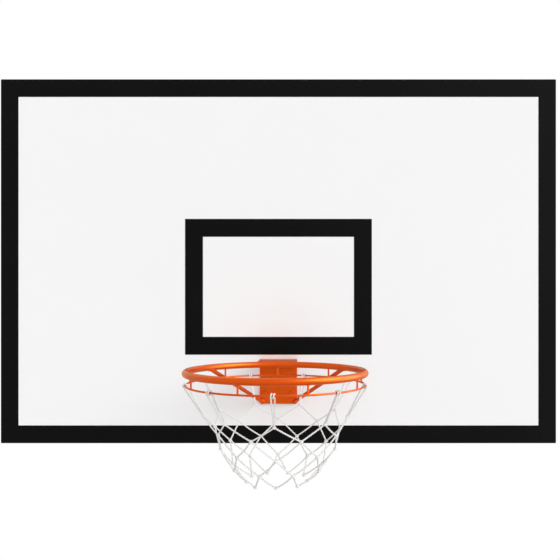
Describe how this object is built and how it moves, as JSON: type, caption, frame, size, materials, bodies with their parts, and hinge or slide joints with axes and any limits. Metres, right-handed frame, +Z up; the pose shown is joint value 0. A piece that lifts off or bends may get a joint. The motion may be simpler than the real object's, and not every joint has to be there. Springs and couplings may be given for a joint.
{
  "type": "basketball backboard",
  "caption": "White rectangular basketball backboard with black border and target lines, an orange fixed rim, a white cord net and a welded tube frame behind for bolting to a support.",
  "frame": {"origin": "middle of the four support holes, in the rear plane of the mounting ears, at the board's mid height", "axes": "+X to the right of someone facing the board, +Y from the playing face towards the support, +Z up"},
  "size_m": [1.8, 0.685, 1.2015],
  "materials": {
    "white_laminate": "white laminate on plywood",
    "black_line": "matt black line film",
    "frame_paint": "dark grey powder coat",
    "rim_paint": "orange powder coat",
    "zinc": "bright zinc plate",
    "net_cord": "white laid cord"
  },
  "bodies": {
    "goal": {"board_panel": "white_laminate", "border_lines": "black_line", "target_lines": "black_line", "frame_top_rail": "frame_paint", "frame_bottom_rail": "frame_paint", "frame_left_stile": "frame_paint", "frame_right_stile": "frame_paint", "frame_left_upright": "frame_paint", "frame_right_upright": "frame_paint", "frame_left_midrail": "frame_paint", "frame_right_midrail": "frame_paint", "goal_crossbar_upper": "frame_paint", "goal_crossbar_lower": "frame_paint", "mount_ear_upper_left": "frame_paint", "mount_ear_upper_right": "frame_paint", "mount_ear_lower_left": "frame_paint", "mount_ear_lower_right": "frame_paint", "goal_mounting_plate": "frame_paint", "fixing_cleats": "frame_paint", "rim_ring": "rim_paint", "rim_bracket": "rim_paint", "rim_brace_left": "rim_paint", "rim_brace_right": "rim_paint", "net_wire": "rim_paint", "net_wire_posts": "rim_paint", "rim_bolts": "rim_paint", "cleat_screws": "zinc", "rim_washers": "zinc", "rim_nuts": "zinc"},
    "net_loops": {"net_top_loops": "net_cord"},
    "net": {"net_mesh": "net_cord"}
  },
  "joints": [
    {"name": "net_swing", "type": "hinge", "parent": "goal", "child": "net_loops", "pos_m": [0, -0.442, -0.3545], "axis": [1, 0, 0], "range_deg": [-8, 8], "deforming": ["net_top_loops"]},
    {"name": "net_sway", "type": "hinge", "parent": "net_loops", "child": "net", "pos_m": [0, -0.442, -0.3545], "axis": [0, 1, 0], "range_deg": [-8, 8], "deforming": ["net_top_loops"]}
  ]
}
